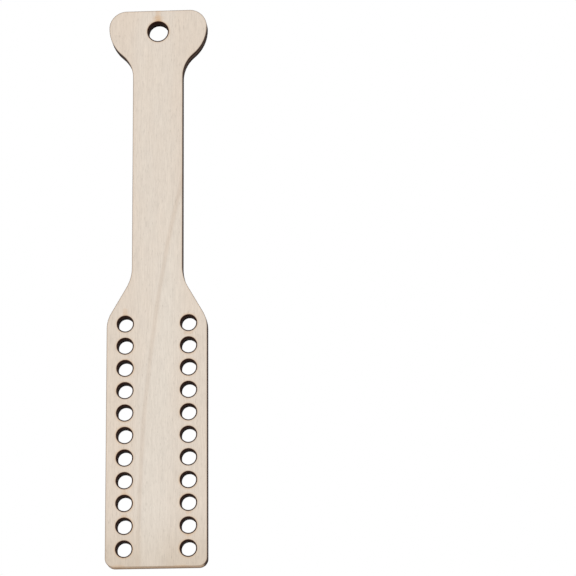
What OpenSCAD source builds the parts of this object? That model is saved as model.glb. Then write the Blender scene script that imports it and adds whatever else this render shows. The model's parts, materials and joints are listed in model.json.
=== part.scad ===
// Warping paddle, laser-cut from one three-ply board.
// It hangs upright: +Z runs up the paddle, the front face looks along -Y, and the origin is
// the middle of the hang hole, halfway through the board.

/* [Board] */
// Thickness of each face ply
face_ply_t = 1.9; // [1:0.1:3]
// Thickness of the core ply
core_ply_t = 2.0; // [1:0.1:4]
// Thickness of each glue line
glue_t = 0.1; // [0.05:0.05:0.3]

/* [Paddle] */
// Length from the top of the head to the end of the blade
overall_l = 253.5; // [240:0.5:300]

/* [Head] */
// Width of the head at its widest
head_w = 44.2; // [38:0.2:60]
// Radius of the two top corners
head_corner_r = 7.9; // [5:0.1:10]
// Radius of the full curve below each top corner
head_side_r = 17; // [14:0.5:18]
// Radius of the hollow that runs from the head into the handle
waist_r = 14; // [8:0.5:24]
// Diameter of the hang hole
hang_d = 9.4; // [4:0.1:14]
// From the middle of the hang hole to the top edge
hang_edge = 9.9; // [8.5:0.1:16]

/* [Handle] */
// Width of the handle
handle_w = 22.4; // [16:0.2:28]

/* [Blade] */
// Width of the blade
blade_w = 44.4; // [38:0.2:60]
// Length of the blade at its full width
blade_l = 105.9; // [100:0.1:120]
// Length of the shoulder between the handle and the full width of the blade
shoulder_l = 27.7; // [25:0.1:50]
// Radius of the hollow where the handle opens into the shoulder
shoulder_top_r = 18.5; // [8:0.5:22]
// Radius of the round where the shoulder meets the side of the blade
shoulder_low_r = 14; // [6:0.5:18]
// Radius of the two corners at the end of the blade
end_corner_r = 3.9; // [1:0.1:8]

/* [Yarn holes] */
// Number of rows of holes
hole_rows = 11; // [4:1:11]
// Distance from one row to the next
row_pitch = 10; // [9:0.1:10.5]
// Diameter of a yarn hole
yarn_d = 7.2; // [3:0.1:8]
// From the middle of a hole to the side of the blade
side_margin = 8.2; // [5.5:0.1:12]
// From the middle of the last row to the end of the blade
end_margin = 7.9; // [5.5:0.1:12]

/* [Hidden] */

// the layers are stacked from the front face to the back face
board_t = 2 * face_ply_t + 2 * glue_t + core_ply_t;
front_y = -board_t / 2;
front_glue_y = front_y + face_ply_t;
core_y = front_glue_y + glue_t;
back_glue_y = core_y + core_ply_t;
back_y = back_glue_y + glue_t;

// heights above the hang hole
top_z = hang_edge;
end_z = top_z - overall_l;
shoulder_low_z = end_z + blade_l;
shoulder_top_z = shoulder_low_z + shoulder_l;
last_row_z = end_z + end_margin;
column_x = blade_w / 2 - side_margin;

// a cutter runs out of both faces by this much
cut_over = 1;
// turn between two points on a curved edge, and the facets of a drilled wall
edge_step = 5;
hole_facets = 48;

// Centres of the arcs on the right half of the outline, each as [x, z].
// The head's side arc touches its corner arc where the head is widest.
head_wide_z = top_z - head_corner_r;
head_corner_c = [head_w / 2 - head_corner_r, head_wide_z];
head_side_c = [head_w / 2 - head_side_r, head_wide_z];
// The hollow touches the side arc and the handle.
waist_x = handle_w / 2 + waist_r;
waist_drop = sqrt(pow(head_side_r + waist_r, 2) - pow(waist_x - head_side_c.x, 2));
waist_c = [waist_x, head_wide_z - waist_drop];
waist_turn = atan2(waist_drop, waist_x - head_side_c.x);
shoulder_top_c = [handle_w / 2 + shoulder_top_r, shoulder_top_z];
shoulder_low_c = [blade_w / 2 - shoulder_low_r, shoulder_low_z];
end_corner_c = [blade_w / 2 - end_corner_r, end_z + end_corner_r];
// A straight run, touching both arcs, leans by this angle between them.
shoulder_gap = shoulder_top_c - shoulder_low_c;
shoulder_lean = asin((shoulder_top_r + shoulder_low_r) / norm(shoulder_gap))
              - atan2(shoulder_gap.x, shoulder_gap.y);

// Points along an arc about c, from one angle to another
function arc(c, r, from, to) =
    let (n = ceil(abs(to - from) / edge_step))
    [for (i = [0:n]) let (a = from + (to - from) * i / n) [c.x + r * cos(a), c.y + r * sin(a)]];

// The right half of the outline, from the top edge down to the end of the blade
half_outline = concat(
    arc(head_corner_c, head_corner_r, 90, 0),
    arc(head_side_c, head_side_r, -edge_step, -waist_turn),
    arc(waist_c, waist_r, 180 - waist_turn + edge_step, 180),
    arc(shoulder_top_c, shoulder_top_r, 180, 180 + shoulder_lean),
    arc(shoulder_low_c, shoulder_low_r, shoulder_lean, 0),
    arc(end_corner_c, end_corner_r, 0, -90)
);

module outline() {
    last = len(half_outline) - 1;
    polygon(concat(half_outline, [for (i = [last:-1:0]) [-half_outline[i].x, half_outline[i].y]]));
}

// A layer of the board with the paddle's outline, its front side at the height y from front to back
module layer(y, t) {
    translate([0, y + t, 0]) rotate([90, 0, 0])
    difference() {
        linear_extrude(t) outline();
        drill(0, 0, hang_d, t);
        for (side = [-1, 1], row = [0:hole_rows - 1])
            drill(side * column_x, last_row_z + row * row_pitch, yarn_d, t);
    }
}

// The cutter for one hole through a layer that lies flat
module drill(x, z, d, t) {
    translate([x, z, -cut_over]) cylinder(d = d, h = t + 2 * cut_over, $fn = hole_facets);
}

module front_veneer() {
    color([0.88, 0.83, 0.79]) layer(front_y, face_ply_t);
}

module front_glue_line() {
    color([0.16, 0.10, 0.08]) layer(front_glue_y, glue_t);
}

module core_veneer() {
    color([0.33, 0.26, 0.23]) layer(core_y, core_ply_t);
}

module back_glue_line() {
    color([0.16, 0.10, 0.08]) layer(back_glue_y, glue_t);
}

module back_veneer() {
    color([0.86, 0.81, 0.76]) layer(back_y, face_ply_t);
}

front_veneer();
front_glue_line();
core_veneer();
back_glue_line();
back_veneer();
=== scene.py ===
import bmesh
import bpy
import json
import math
from mathutils import Matrix, Vector


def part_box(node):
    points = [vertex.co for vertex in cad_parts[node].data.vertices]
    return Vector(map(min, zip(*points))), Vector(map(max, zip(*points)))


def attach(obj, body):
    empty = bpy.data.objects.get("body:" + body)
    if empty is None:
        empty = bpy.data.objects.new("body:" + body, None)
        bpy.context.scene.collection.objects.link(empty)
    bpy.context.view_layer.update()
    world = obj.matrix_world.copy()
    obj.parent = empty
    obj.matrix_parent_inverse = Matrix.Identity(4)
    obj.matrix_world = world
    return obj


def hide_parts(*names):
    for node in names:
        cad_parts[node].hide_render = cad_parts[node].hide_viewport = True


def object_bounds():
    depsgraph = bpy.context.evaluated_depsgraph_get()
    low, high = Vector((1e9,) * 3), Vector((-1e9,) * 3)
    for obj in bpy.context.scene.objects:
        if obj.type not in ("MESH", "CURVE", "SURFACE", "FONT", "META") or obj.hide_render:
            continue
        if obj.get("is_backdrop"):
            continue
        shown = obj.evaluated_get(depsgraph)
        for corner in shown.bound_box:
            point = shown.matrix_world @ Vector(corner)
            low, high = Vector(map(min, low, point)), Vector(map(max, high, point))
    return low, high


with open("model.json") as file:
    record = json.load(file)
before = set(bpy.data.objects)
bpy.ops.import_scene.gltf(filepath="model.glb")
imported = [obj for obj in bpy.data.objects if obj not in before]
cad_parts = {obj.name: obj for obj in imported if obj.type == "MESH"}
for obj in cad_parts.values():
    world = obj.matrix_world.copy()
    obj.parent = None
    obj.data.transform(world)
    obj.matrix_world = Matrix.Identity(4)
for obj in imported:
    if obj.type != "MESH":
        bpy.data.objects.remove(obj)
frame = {"nodes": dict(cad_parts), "record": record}
cadLow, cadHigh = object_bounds()
mm = 0.001
endZ = cadLow.z / mm  # the lower end of the blade, in millimetres

# the hole pattern, read from the frame's own mounts, in millimetres
holeMounts = [m for m in frame["record"]["mounts"] if "yarn_hole" in m["name"]]
hangMount = next(m for m in frame["record"]["mounts"] if m["name"] == "hang_hole")
rowHeights = sorted({round(m["pos_m"][2] / mm, 3) for m in holeMounts})
holes = {
    "columnX": max(m["pos_m"][0] for m in holeMounts) / mm,
    "lastRowZ": rowHeights[0],
    "pitch": rowHeights[1] - rowHeights[0],
    "rows": len(rowHeights),
    "radius": holeMounts[0]["dims"]["r_mm"],
    "hangRadius": hangMount["dims"]["r_mm"],
}
print("hole pattern read from the frame")


class Wire:
    # a socket of a material, with the operators that its maths uses
    def __init__(self, finish, socket):
        self.finish = finish
        self.socket = socket

    def math(self, operation, *values):
        return self.finish.node("Math", {"operation": operation}, dict(enumerate(values)))

    def __add__(self, other):
        return self.math("ADD", self, other)

    def __radd__(self, other):
        return self.math("ADD", other, self)

    def __sub__(self, other):
        return self.math("SUBTRACT", self, other)

    def __rsub__(self, other):
        return self.math("SUBTRACT", other, self)

    def __mul__(self, other):
        return self.math("MULTIPLY", self, other)

    def __rmul__(self, other):
        return self.math("MULTIPLY", other, self)

    def __truediv__(self, other):
        return self.math("DIVIDE", self, other)

    def __pow__(self, other):
        return self.math("POWER", self, other)

    def __abs__(self):
        return self.math("ABSOLUTE", self)

    def __round__(self):
        return self.math("ROUND", self)

    def atLeast(self, other):
        return self.math("MAXIMUM", self, other)

    def atMost(self, other):
        return self.math("MINIMUM", self, other)


class Finish:
    # a material or a world, and the few ways of adding to its nodes
    def __init__(self, owner):
        owner.use_nodes = True
        self.owner = owner
        self.tree = owner.node_tree
        self.tree.nodes.clear()

    def node(self, kind, settings=None, inputs=None, output=0):
        made = self.tree.nodes.new("ShaderNode" + kind)
        for key, value in (settings or {}).items():
            setattr(made, key, value)
        for key, value in (inputs or {}).items():
            if isinstance(value, Wire):
                self.tree.links.new(value.socket, made.inputs[key])
            else:
                made.inputs[key].default_value = value
        return Wire(self, made.outputs[output]) if made.outputs else None

    def place(self):  # the frame's own position, in millimetres
        at = self.node("TexCoord", None, None, "Object")
        return self.node("VectorMath", {"operation": "SCALE"}, {0: at, "Scale": 1 / mm})

    def parts(self, vector):
        return [self.node("SeparateXYZ", None, {0: vector}, axis) for axis in "XYZ"]

    def noise(self, vector, seed, rates, offset, detail, roughness):  # rates has one rate for each axis
        shift = seed + offset
        stretched = self.node("VectorMath", {"operation": "MULTIPLY_ADD"},
                              {0: vector, 1: rates, 2: (shift, shift, shift)})
        return self.node("TexNoise", {"noise_dimensions": "3D"},
                         {"Vector": stretched, "Scale": 1.0, "Detail": detail, "Roughness": roughness})

    def ease(self, value, low, high):  # 0 at low, 1 at high, smooth between
        return self.node("MapRange", {"interpolation_type": "SMOOTHSTEP"},
                         {"Value": value, "From Min": low, "From Max": high})

    def blend(self, factor, first, second):
        return self.node("Mix", {"data_type": "RGBA"}, {0: factor, 6: first, 7: second}, 2)

    def shade(self, colour, amount):  # a colour made lighter or darker by a factor that varies
        grey = self.node("CombineXYZ", None, {0: amount, 1: amount, 2: amount})
        return self.node("VectorMath", {"operation": "MULTIPLY"}, {0: colour, 1: grey})

    def inView(self):  # 1 for a ray that shows the surface or the world, 0 for one that gathers light
        rays = [self.node("LightPath", None, None, name)
                for name in ("Is Camera Ray", "Is Glossy Ray", "Is Transmission Ray")]
        return rays[0].atLeast(rays[1]).atLeast(rays[2])

    def surface(self, colour, roughness, height, look):
        bump = self.node("Bump", None, {"Strength": look["bump"], "Distance": look["bumpDepth"] * mm,
                                        "Height": height})
        shader = self.node("BsdfPrincipled", None, {
            "Base Color": colour, "Roughness": roughness, "Normal": bump,
            "Specular IOR Level": look["specular"]})
        self.node("OutputMaterial", None, {"Surface": shader})
        return self.owner


def paint(red, green, blue):  # a screen colour, 0 to 255, as a shader colour
    def linear(value):
        value /= 255
        return value / 12.92 if value <= 0.04045 else ((value + 0.055) / 1.055) ** 2.4
    return (linear(red), linear(green), linear(blue), 1.0)


def holeGap(x, z):  # millimetres from the rim of the nearest hole, outwards
    row = round((z - holes["lastRowZ"]) / holes["pitch"]).atLeast(0).atMost(holes["rows"] - 1)
    across = abs(x) - holes["columnX"]
    along = z - holes["lastRowZ"] - row * holes["pitch"]
    yarnGap = (across * across + along * along) ** 0.5 - holes["radius"]
    hangGap = (x * x + z * z) ** 0.5 - holes["hangRadius"]
    return yarnGap.atMost(hangGap)


def spots(finish, x, z, places):  # 1 in the middle of each small oval place, 0 outside them all
    found = 0
    for placeX, placeZ, wide, tall in places:
        across = (x - placeX) / wide
        along = (z - placeZ) / tall
        found = (1 - finish.ease(across * across + along * along, 0.1, 1.0)).atLeast(found)
    return found


# the layers of a sanded face: rates for each axis in 1/mm, seed offset, detail and roughness
grain = {
    "drift": ((0.05, 0.0, 0.025), 1.3, 2.0, 0.5),
    "cloud": ((0.10, 0.0, 0.035), 4.1, 3.0, 0.5),
    "streak": ((0.62, 0.0, 0.030), 7.7, 3.0, 0.5),
    "fibre": ((1.7, 0.0, 0.15), 2.9, 4.0, 0.65),
    "pore": ((4.2, 0.0, 0.42), 9.2, 1.0, 0.5),
    "fleck": ((1.1, 0.0, 0.30), 5.6, 1.0, 0.5),
    "ragged": ((1.7, 0.0, 1.7), 3.3, 2.0, 0.5),
    "puff": ((0.11, 0.0, 0.13), 8.4, 1.0, 0.5),
}


def woodFace(name, look):  # a sanded face ply with its growth rings, pores and scorched rims
    finish = Finish(bpy.data.materials.new(name))
    at = finish.place()
    x, _, z = finish.parts(at)
    seed = look["seed"]
    drift = finish.noise(at, seed, *grain["drift"]) - 0.5
    climb = (z - look["ringFootZ"]).atLeast(0)
    ring = x * look["side"] - climb * climb * look["ringBow"] - look["ringX"] + drift * look["ringWander"]
    warmSide = 1 - finish.ease(ring, -look["ringBlur"], look["ringBlur"])
    ringLine = 1 - finish.ease(abs(ring), look["ringLine"] * look["ringCore"], look["ringLine"])
    paleBand = finish.ease(ring, *look["paleStart"]) * (1 - finish.ease(ring, *look["paleStop"]))
    cloud = finish.noise(at, seed, *grain["cloud"]) - 0.5
    streak = finish.noise(at, seed, *grain["streak"]) - 0.5
    fibre = finish.noise(at, seed, *grain["fibre"]) - 0.5
    pore = finish.ease(finish.noise(at, seed, *grain["pore"]), *look["poreFrom"])
    fleck = finish.ease(finish.noise(at, seed, *grain["fleck"]), *look["fleckFrom"])
    low = finish.ease(z, look["lowFadeZ"][1], look["lowFadeZ"][0])

    middle = 1 - finish.ease(abs(x - look["middleX"]), *look["middle"])
    warmth = look["warmth"] + warmSide * look["warmSide"] - middle * look["middlePale"]
    warmth = warmth + cloud * look["cloudWarm"]
    wood = finish.blend(warmth, look["coolWood"], look["warmWood"])
    wood = finish.blend(low * look["lowTint"], wood, look["lowWood"])
    wood = finish.blend(paleBand * look["paleBand"], wood, look["paleWood"])
    risen = finish.ease(z, *look["ringRiseZ"])
    ringFade = look["ringFaint"] + (1 - look["ringFaint"]) * risen + drift * look["ringUneven"]
    wood = finish.blend(ringLine * ringFade * look["ringDepth"], wood, look["ringWood"])
    tone = 1 + streak * look["streak"] + fibre * look["fibre"] + cloud * look["cloud"]
    tone = tone - pore * look["pore"] - fleck * look["fleck"]
    tone = tone - spots(finish, x, z, look["marks"]) * look["mark"]
    wood = finish.shade(wood, tone)

    # scorch: an amber breath of smoke round each hole, and a thin burnt line at every rim
    gap = holeGap(x, z)
    ragged = finish.noise(at, seed, *grain["ragged"]) - 0.5
    puff = finish.ease(finish.noise(at, seed, *grain["puff"]), *look["puffFrom"])
    nearHole = 1 - finish.ease(gap + ragged * look["haloRagged"], 0.0, look["haloWidth"])
    halo = nearHole * (look["haloLeast"] + puff * (1 - look["haloLeast"]))
    aboveHang = finish.ease(z, *look["flareZ"])
    flare = (1 - finish.ease(abs(x + ragged * look["flareRagged"]), *look["flareX"])) * aboveHang
    rim = finish.node("Attribute", {"attribute_name": "rimGap"}, None, "Fac")
    edgeGlow = 1 - finish.ease(rim + ragged * look["glowRagged"], *look["edgeGlowWidth"])
    breath = look["breath"] + ragged * look["breathRagged"]
    scorchX = x + ragged * look["scorchRagged"][0]
    scorchZ = z + ragged * look["scorchRagged"][1]
    scorch = spots(finish, scorchX, scorchZ, look["scorches"]) * breath * look["scorch"]
    smoke = halo * look["halo"] + flare * look["flare"] + edgeGlow * look["edgeGlow"] + scorch
    wood = finish.blend(smoke.atMost(look["smokeMost"]), wood, look["amber"])
    burnt = 1 - finish.ease(gap + ragged * look["burntRagged"],
                            look["burntRing"] * look["burntCore"], look["burntRing"])
    edgeLine = 1 - finish.ease(rim + ragged * look["lineRagged"],
                               look["edgeLine"] * look["lineCore"], look["edgeLine"])
    wood = finish.blend((burnt * look["burnt"]).atLeast(edgeLine * look["edgeBurnt"]), wood, look["char"])
    rough = look["rough"] + fibre * look["fibreRough"] + pore * look["poreRough"]
    height = fibre * look["fibreHeight"] + streak * look["streakHeight"] - pore * look["poreHeight"]
    return finish.surface(wood, rough, height, look)


# the layers of a cut wall, as above; the rates of the wood's cells are in each ply's own values
cutLayers = {
    "line": ((2.4, 0.10, 2.4), 1.1, 3.0, 0.6),
    "patch": ((0.16, 0.25, 0.16), 6.2, 2.0, 0.5),
    "cell": (3.8, 2.0, 0.6),
}


def charredEdge(name, look):  # a wall that the laser cut, with its fine lines through the thickness
    finish = Finish(bpy.data.materials.new(name))
    at = finish.place()
    x, y, z = finish.parts(at)
    seed = look["seed"]
    line = finish.noise(at, seed, *cutLayers["line"]) - 0.5
    patch = finish.noise(at, seed, *cutLayers["patch"]) - 0.5
    cell = finish.noise(at, seed, look["cellRates"], *cutLayers["cell"]) - 0.5
    depth = (y - look["nearY"]) / (look["farY"] - look["nearY"])
    tone = finish.blend(depth + patch * look["patchDepth"], look["nearChar"], look["farChar"])
    # painted light: the downward wall at the lower end is painted paler, as if lit from below
    paintedEndLight = 1 - finish.ease(z - endZ + patch * look["endLightPatch"], *look["endLightHeight"])
    tone = finish.blend(paintedEndLight * look["paintedEndLight"], tone, look["endLightTone"])
    # painted shade: the walls inside the holes are painted darker than the outer walls
    holeShadeMask = finish.ease(abs(holeGap(x, z)), *look["holeShadeGap"])
    tone = finish.blend(holeShadeMask * look["holeShade"], tone, look["holeShadeTone"])
    tone = finish.shade(tone, 1 + line * look["line"] + patch * look["patch"] + cell * look["cell"])
    rough = look["rough"] + line * look["lineRough"]
    return finish.surface(tone, rough, line * look["lineHeight"] + cell * look["cellHeight"], look)


# the laser's cut: the beam burns a small charred lip round the mouth of each hole, in millimetres
kerf = {"lip": 0.28, "lipSteps": 3, "rimSteps": 2, "holeSlack": 0.3}
# how far a face's normal runs along y: on a cap before its rims are worn, and on one that is still flat
capTilt = {"cap": 0.9, "flat": 0.999}


def insideHole(point):  # true for a point on the wall of a hole
    x, z = point.x / mm, point.z / mm
    row = min(max(round((z - holes["lastRowZ"]) / holes["pitch"]), 0), holes["rows"] - 1)
    yarn = math.hypot(abs(x) - holes["columnX"], z - holes["lastRowZ"] - row * holes["pitch"])
    hang = math.hypot(x, z)
    return yarn < holes["radius"] + kerf["holeSlack"] or hang < holes["hangRadius"] + kerf["holeSlack"]


def isCap(face):
    return abs(face.normal.y) > capTilt["cap"]


def plySheet(name, nodeName, look, faceMaterial, edgeMaterial):
    # the ply's own mesh: the lip and the charred walls, rims worn round, and narrow rings along each rim
    low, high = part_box(nodeName)
    source = frame["nodes"][nodeName].data
    sheet = bmesh.new()
    points = [sheet.verts.new(v.co) for v in source.vertices]
    for polygon in source.polygons:
        if polygon.normal.y < -capTilt["cap"]:
            sheet.faces.new([points[i] for i in polygon.vertices])
    bmesh.ops.delete(sheet, geom=[v for v in sheet.verts if not v.link_faces], context="VERTS")
    bmesh.ops.remove_doubles(sheet, verts=sheet.verts, dist=look["weld"] * mm)
    pulled = bmesh.ops.extrude_face_region(sheet, geom=sheet.faces[:])
    farVerts = [v for v in pulled["geom"] if isinstance(v, bmesh.types.BMVert)]
    bmesh.ops.translate(sheet, verts=farVerts, vec=(0, high.y - low.y, 0))
    bmesh.ops.recalc_face_normals(sheet, faces=sheet.faces)

    moves = {}
    for vert in sheet.verts:
        walls = [f for f in vert.link_faces if not isCap(f)]
        away = sum((f.normal * f.calc_area() for f in walls), Vector()).normalized()
        push = -look["charBack"]
        if insideHole(vert.co):
            push += kerf["lip"]
        moves[vert] = away * push * mm
    for vert, move in moves.items():
        vert.co += move
    sheet.normal_update()

    def wearRims(side, atHoles, radius, steps):
        rims = []
        for edge in sheet.edges:
            caps = [f for f in edge.link_faces if isCap(f)]
            if len(caps) == 1 and caps[0].normal.y * side > 0 and insideHole(edge.verts[0].co) == atHoles:
                rims.append(edge)
        bmesh.ops.bevel(sheet, geom=rims, offset=radius * mm, offset_type="OFFSET", segments=steps,
                        profile=0.5, affect="EDGES", clamp_overlap=True)
        sheet.normal_update()

    for side, radius in ((-1, look["frontRound"]), (1, look["backRound"])):
        wearRims(side, False, radius, kerf["rimSteps"])
        if side == look["outer"]:
            wearRims(side, True, kerf["lip"], kerf["lipSteps"])
        else:
            wearRims(side, True, radius, kerf["rimSteps"])

    # the distance from the rim, kept on the points for the finish to read
    gapLayer = sheet.verts.layers.float.new("rimGap")
    for side in (-1, 1):
        caps = [f for f in sheet.faces if f.normal.y * side > capTilt["flat"]]
        reached = 0.0
        for vert in {v for f in caps for v in f.verts}:
            vert[gapLayer] = reached
        if side == look["outer"]:
            for width in look["rings"]:
                bmesh.ops.inset_region(sheet, faces=caps, thickness=width * mm, depth=0.0,
                                       use_boundary=True, use_even_offset=True)
                reached += width
                for vert in {v for f in caps for v in f.verts}:
                    vert[gapLayer] = reached
    sheet.normal_update()
    for face in sheet.faces:
        face.smooth = True
        face.material_index = 0 if abs(face.normal.y) > capTilt["flat"] else 1

    mesh = bpy.data.meshes.new(name)
    sheet.to_mesh(mesh)
    sheet.free()
    mesh.materials.append(faceMaterial)
    mesh.materials.append(edgeMaterial)
    piece = bpy.data.objects.new(name, mesh)
    bpy.context.scene.collection.objects.link(piece)
    even = piece.modifiers.new("evenShading", "WEIGHTED_NORMAL")
    even.mode = "FACE_AREA"
    even.weight = 90
    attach(piece, "root")
    look["slot"]
    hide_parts(nodeName)
    print(name, "made with", len(mesh.polygons), "faces")


def plyRange(nodeName):  # the ply's lowest and highest y, in millimetres
    low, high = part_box(nodeName)
    return low.y / mm, high.y / mm


# front ply: pale along the middle, warmer towards the sides, with one growth-ring line that bows to the
# right as it climbs; a mark or scorch is x, z, half its width and half its height, in millimetres
frontFace = {
    "seed": 3.0, "side": 1,
    "ringX": -7.7, "ringFootZ": -233.0, "ringBow": 0.0007, "ringWander": 2.2, "ringBlur": 5.0,
    "ringLine": 1.35, "ringCore": 0.25, "ringDepth": 0.27,
    "ringFaint": 0.45, "ringRiseZ": (-238.0, -212.0), "ringUneven": 1.2,
    "paleBand": 0.40, "paleStart": (0.4, 2.5), "paleStop": (6.0, 15.0),
    "warmth": 0.62, "warmSide": 0.22, "cloudWarm": 1.2,
    "middleX": -1.0, "middle": (4.0, 13.0), "middlePale": 0.55,
    "coolWood": paint(230, 219, 206), "warmWood": paint(228, 213, 197), "paleWood": paint(232, 222, 209),
    "ringWood": paint(201, 180, 160),
    "lowWood": paint(214, 199, 181), "lowFadeZ": (-247, -217), "lowTint": 0.9,
    "streak": 0.11, "fibre": 0.36, "cloud": 0.06,
    "pore": 0.13, "poreFrom": (0.60, 0.72), "fleck": 0.10, "fleckFrom": (0.70, 0.78),
    "mark": 0.10,
    "marks": (
        (9.8, 0.8, 0.5, 2.4), (11.6, 1.6, 0.45, 1.5), (7.9, 2.6, 0.4, 1.2),
        (-17.5, -1.8, 0.6, 0.7), (13.2, -3.4, 0.4, 1.0),
    ),
    "scorch": 0.36, "scorchRagged": (2.2, 1.6), "breath": 0.8, "breathRagged": 1.5,
    "scorches": (
        (-14.0, -130.4, 1.5, 2.6), (14.0, -140.2, 2.6, 1.1), (-14.0, -211.0, 1.9, 1.2),
        (-14.0, -221.2, 1.6, 1.1), (14.0, -220.2, 1.7, 1.0), (14.0, -230.2, 1.9, 1.0),
        (0.0, 6.2, 3.4, 1.9), (-16.5, -243.4, 4.0, 1.2), (11.0, -243.6, 5.0, 0.8),
    ),
    "halo": 0.44, "haloWidth": 1.4, "haloRagged": 0.5, "haloLeast": 0.16, "puffFrom": (0.30, 0.68),
    "flare": 0.38, "flareX": (0.4, 1.9), "flareZ": (3.0, 4.6), "flareRagged": 1.2,
    "edgeGlow": 0.20, "edgeGlowWidth": (0.1, 0.9), "glowRagged": 0.3, "smokeMost": 0.9,
    "amber": paint(214, 177, 138), "char": paint(50, 30, 21),
    "burnt": 1.0, "burntRing": 0.37, "burntCore": 0.4, "burntRagged": 0.12,
    "edgeBurnt": 0.60, "edgeLine": 0.30, "lineCore": 0.3, "lineRagged": 0.06,
    "rough": 0.62, "fibreRough": 0.10, "poreRough": 0.10,
    "fibreHeight": 0.6, "streakHeight": 0.2, "poreHeight": 0.9,
    "bump": 0.25, "bumpDepth": 0.05, "specular": 0.15,
}
frontY = plyRange("front_veneer")
frontEdge = {
    "seed": 11.0, "nearY": frontY[0], "farY": frontY[1],
    "nearChar": paint(58, 35, 24), "farChar": paint(46, 27, 18), "patchDepth": 0.6,
    # painted light: the paler tone painted on the lower end wall, as if lit from below
    "endLightTone": paint(204, 176, 148), "paintedEndLight": 0.95, "endLightHeight": (0.2, 1.4), "endLightPatch": 0.3,
    # painted shade: the darker tone painted on the walls inside the holes
    "holeShadeTone": paint(50, 25, 15), "holeShade": 0.85, "holeShadeGap": (0.8, 0.45),
    "line": 0.25, "patch": 0.4, "cell": 0.15, "cellRates": (0.8, 3.0, 0.8),
    "rough": 0.78, "lineRough": 0.2, "lineHeight": 0.8, "cellHeight": 0.5,
    "bump": 0.5, "bumpDepth": 0.08, "specular": 0.04,
}
frontPly = {
    "slot": "face_ply", "outer": -1, "weld": 0.001, "charBack": 0.0,
    "frontRound": 0.12, "backRound": 0.05, "rings": (0.14, 0.22, 0.44),
}
plySheet("front_ply", "front_veneer", frontPly, woodFace("sandedFront", frontFace),
         charredEdge("charredFrontEdge", frontEdge))

# core ply: only its cut edge shows, end grain at the sides, a greyer brown
coreY = plyRange("core_veneer")
coreEdge = {**frontEdge, **{
    "seed": 21.0, "nearY": coreY[0], "farY": coreY[1],
    "nearChar": paint(88, 69, 59), "farChar": paint(70, 53, 45),
    # painted light: the core's lower end wall painted paler, as if lit from below
    # painted shade: the core's hole walls painted darker
    "endLightTone": paint(190, 160, 132), "paintedEndLight": 0.9, "holeShadeTone": paint(40, 23, 15),
    "line": 0.35, "patch": 0.6, "cell": 0.5, "cellRates": (0.8, 4.5, 4.5), "bumpDepth": 0.10,
}}
corePly = {
    "slot": "core_ply", "outer": 0, "weld": 0.001, "charBack": 0.05,
    "frontRound": 0.05, "backRound": 0.05, "rings": (),
}
charredCore = charredEdge("charredCoreEdge", coreEdge)
plySheet("core_ply", "core_veneer", corePly, charredCore, charredCore)

# back ply: the laser leaves it last, so its edge is the blackest and its face the smokier one
backFace = {**frontFace, **{
    "seed": 47.0, "side": -1, "ringX": 3.5, "ringFootZ": -260.0, "ringBow": 0.0003, "ringDepth": 0.3,
    "halo": 0.62, "haloWidth": 2.1, "edgeGlow": 0.22, "lowTint": 0.3,
    "marks": ((-6.3, -52.0, 0.5, 2.2),),
    "scorches": ((14.0, -150.6, 1.6, 1.2), (0.0, -6.0, 3.0, 1.6)),
}}
backY = plyRange("back_veneer")
backEdge = {**frontEdge, **{
    "seed": 31.0, "nearY": backY[0], "farY": backY[1],
    # painted light: the back ply's lower end wall painted paler, as if lit from below
    # painted shade: the back ply's hole walls painted darker
    "nearChar": paint(34, 21, 16), "farChar": paint(24, 14, 11), "paintedEndLight": 0.5, "holeShadeTone": paint(20, 11, 9),
}}
backPly = {**frontPly, "outer": 1, "frontRound": 0.05, "backRound": 0.10}
plySheet("back_ply", "back_veneer", backPly, woodFace("sandedBack", backFace),
         charredEdge("charredBackEdge", backEdge))


# glue lines: the two CAD films keep their own shape and get a burnt resin finish
glueLine = {
    "seed": 61.0, "bead": ((1.4, 1.4, 1.4), 0.0, 3.0, 0.6), "scabFrom": (0.52, 0.72),
    "resin": paint(26, 17, 14), "blister": paint(58, 38, 28), "rough": 0.55, "beadRough": 0.25,
    "bump": 0.4, "bumpDepth": 0.04, "specular": 0.22,
}


def burntResin(name, look):
    finish = Finish(bpy.data.materials.new(name))
    bead = finish.noise(finish.place(), look["seed"], *look["bead"])
    scab = finish.ease(bead, *look["scabFrom"])
    colour = finish.blend(scab, look["resin"], look["blister"])
    return finish.surface(colour, look["rough"] + bead * look["beadRough"], bead, look)


resin = burntResin("burntResin", glueLine)
for nodeName in ("front_glue_line", "back_glue_line"):
    for materialSlot in frame["nodes"][nodeName].material_slots:
        materialSlot.material = resin
print("glue lines finished")

# studio: a pale floor below the hanging paddle, one soft key light and an even white surround, in metres
studio = {
    "floorZ": -0.50, "floorSize": 6.0, "floorTone": 0.86, "fade": (0.45, 1.3),
    "seed": 5.0, "speck": ((40.0, 40.0, 40.0), 0.0, 2.0, 0.5), "speckDepth": 0.02,
    "rough": 0.9, "specular": 0.1, "white": (1, 1, 1, 1),
    "surround": 0.86, "key": 0.48, "keyAngle": 28.0, "keyFrom": (-0.45, -1.0, 0.75),
}


def paleFloor(look):  # matte near the paddle, so that it keeps the shadow, and white further out
    finish = Finish(bpy.data.materials.new("paleFloor"))
    at = finish.node("TexCoord", None, None, "Object")
    far = finish.node("VectorMath", {"operation": "LENGTH"}, {0: at}, "Value")
    speck = finish.noise(at, look["seed"], *look["speck"]) - 0.5
    tone = finish.shade((look["floorTone"],) * 3, 1 + speck * look["speckDepth"])
    matte = finish.node("BsdfPrincipled", None, {
        "Base Color": tone, "Roughness": look["rough"], "Specular IOR Level": look["specular"]})
    white = finish.node("Emission", None, {"Color": look["white"], "Strength": 1.0})
    fade = finish.ease(far, *look["fade"]) * finish.inView()
    mixed = finish.node("MixShader", None, {0: fade, 1: matte, 2: white})
    finish.node("OutputMaterial", None, {"Surface": mixed})
    return finish.owner


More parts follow.
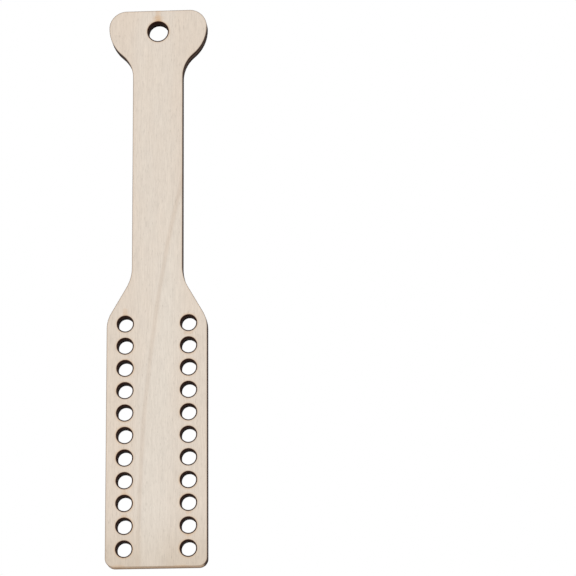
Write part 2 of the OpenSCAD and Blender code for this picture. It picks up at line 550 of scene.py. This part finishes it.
floorMesh = bpy.data.meshes.new("studioFloor")
half = studio["floorSize"] / 2
corners = [(-half, -half, 0), (half, -half, 0), (half, half, 0), (-half, half, 0)]
floorMesh.from_pydata(corners, [], [(0, 1, 2, 3)])
floorMesh.materials.append(paleFloor(studio))
floor = bpy.data.objects.new("studioFloor", floorMesh)
floor.location = (0, 0, studio["floorZ"])
bpy.context.scene.collection.objects.link(floor)
floor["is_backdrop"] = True

keyData = bpy.data.lights.new("keyLight", "SUN")
keyData.energy = studio["key"]
keyData.angle = math.radians(studio["keyAngle"])
key = bpy.data.objects.new("keyLight", keyData)
key.rotation_mode = "QUATERNION"
key.rotation_quaternion = Vector(studio["keyFrom"]).to_track_quat("Z", "Y")
bpy.context.scene.collection.objects.link(key)


def whiteSurround(look):  # the world: white where it is seen, a little lower where it lights
    finish = Finish(bpy.data.worlds.new("whiteSurround"))
    strength = look["surround"] + finish.inView() * (1 - look["surround"])
    sky = finish.node("Background", None, {"Color": look["white"], "Strength": strength})
    finish.node("OutputWorld", None, {"Surface": sky})
    return finish.owner


bpy.context.scene.world = whiteSurround(studio)
print("studio set")

# camera: a long lens below and to the right of the hanging paddle, looking up at its front
camera = {
    "lens": 175.0, "sensor": 36.0, "clip": (0.01, 20.0),
    "stand": (0.1308, -1.1969, -0.4228), "yaw": -3.49, "pitch": 14.16, "roll": -0.45,
}
lensData = bpy.data.cameras.new("camera")
lensData.lens = camera["lens"]
lensData.sensor_width = camera["sensor"]
lensData.clip_start, lensData.clip_end = camera["clip"]
eye = bpy.data.objects.new("camera", lensData)
turn = Matrix.Rotation(math.radians(-camera["yaw"]), 4, "Z")
tilt = Matrix.Rotation(math.radians(90 + camera["pitch"]), 4, "X")
lean = Matrix.Rotation(math.radians(camera["roll"]), 4, "Z")
eye.matrix_world = Matrix.Translation(camera["stand"]) @ turn @ tilt @ lean
bpy.context.scene.collection.objects.link(eye)
bpy.context.scene.camera = eye
bpy.context.scene.view_settings.view_transform = "Standard"

seenLow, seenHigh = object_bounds()
boxes = {"cad": [list(cadLow), list(cadHigh)], "visual": [list(seenLow), list(seenHigh)]}
